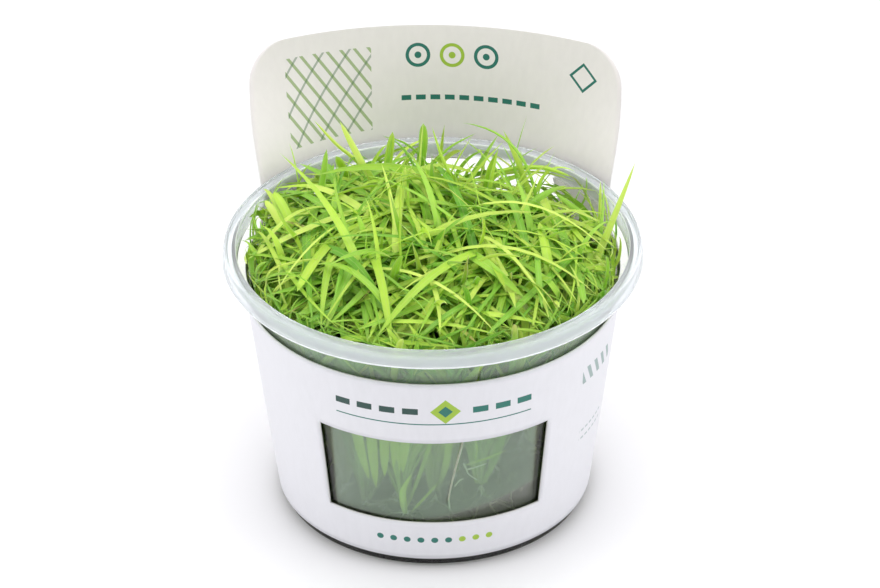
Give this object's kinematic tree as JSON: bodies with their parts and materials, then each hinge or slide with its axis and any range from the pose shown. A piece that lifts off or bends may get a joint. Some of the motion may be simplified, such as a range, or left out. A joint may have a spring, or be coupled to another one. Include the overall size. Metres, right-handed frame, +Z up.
{
  "type": "tissue culture creeping rush",
  "caption": "Clear culture cup of creeping rush rooted in jelly, inside a windowed card sleeve that stands up behind it.",
  "frame": {"origin": "middle of the flat underside of the cup's foot", "axes": "+Z up along the cup's axis, -Y out of the front through the sleeve's window, +X to the right of someone who faces the window"},
  "size_m": [0.095, 0.1011, 0.0908],
  "materials": {
    "clear_plastic": "gloss",
    "white_card": "satin",
    "clear_gel": "gloss",
    "leaf_bright": "satin",
    "leaf_mid": "satin",
    "leaf_deep": "satin"
  },
  "bodies": {
    "root": {"cup": "clear_plastic", "sleeve": "white_card", "gel": "clear_gel", "plantlet_01": "leaf_bright", "plantlet_02": "leaf_mid", "plantlet_03": "leaf_deep", "plantlet_04": "leaf_bright", "plantlet_05": "leaf_mid", "plantlet_06": "leaf_deep", "plantlet_07": "leaf_bright", "plantlet_08": "leaf_mid", "plantlet_09": "leaf_deep", "plantlet_10": "leaf_bright", "plantlet_11": "leaf_mid", "plantlet_12": "leaf_deep", "plantlet_13": "leaf_bright", "plantlet_14": "leaf_mid", "plantlet_15": "leaf_deep", "plantlet_16": "leaf_bright", "plantlet_17": "leaf_mid", "plantlet_18": "leaf_deep", "plantlet_19": "leaf_bright", "plantlet_20": "leaf_mid", "plantlet_21": "leaf_deep", "plantlet_22": "leaf_bright", "plantlet_23": "leaf_mid", "plantlet_24": "leaf_deep", "plantlet_25": "leaf_bright", "plantlet_26": "leaf_mid", "plantlet_27": "leaf_deep", "plantlet_28": "leaf_bright", "plantlet_29": "leaf_mid", "plantlet_30": "leaf_deep", "plantlet_31": "leaf_bright", "plantlet_32": "leaf_mid", "plantlet_33": "leaf_deep", "plantlet_34": "leaf_bright", "plantlet_35": "leaf_mid", "plantlet_36": "leaf_deep", "plantlet_37": "leaf_bright", "plantlet_38": "leaf_mid", "plantlet_39": "leaf_deep", "plantlet_40": "leaf_bright", "plantlet_41": "leaf_mid", "plantlet_42": "leaf_deep", "plantlet_43": "leaf_bright", "plantlet_44": "leaf_mid", "plantlet_45": "leaf_deep", "plantlet_46": "leaf_bright", "plantlet_47": "leaf_mid", "plantlet_48": "leaf_deep", "plantlet_49": "leaf_bright", "plantlet_50": "leaf_mid"}
  },
  "joints": []
}
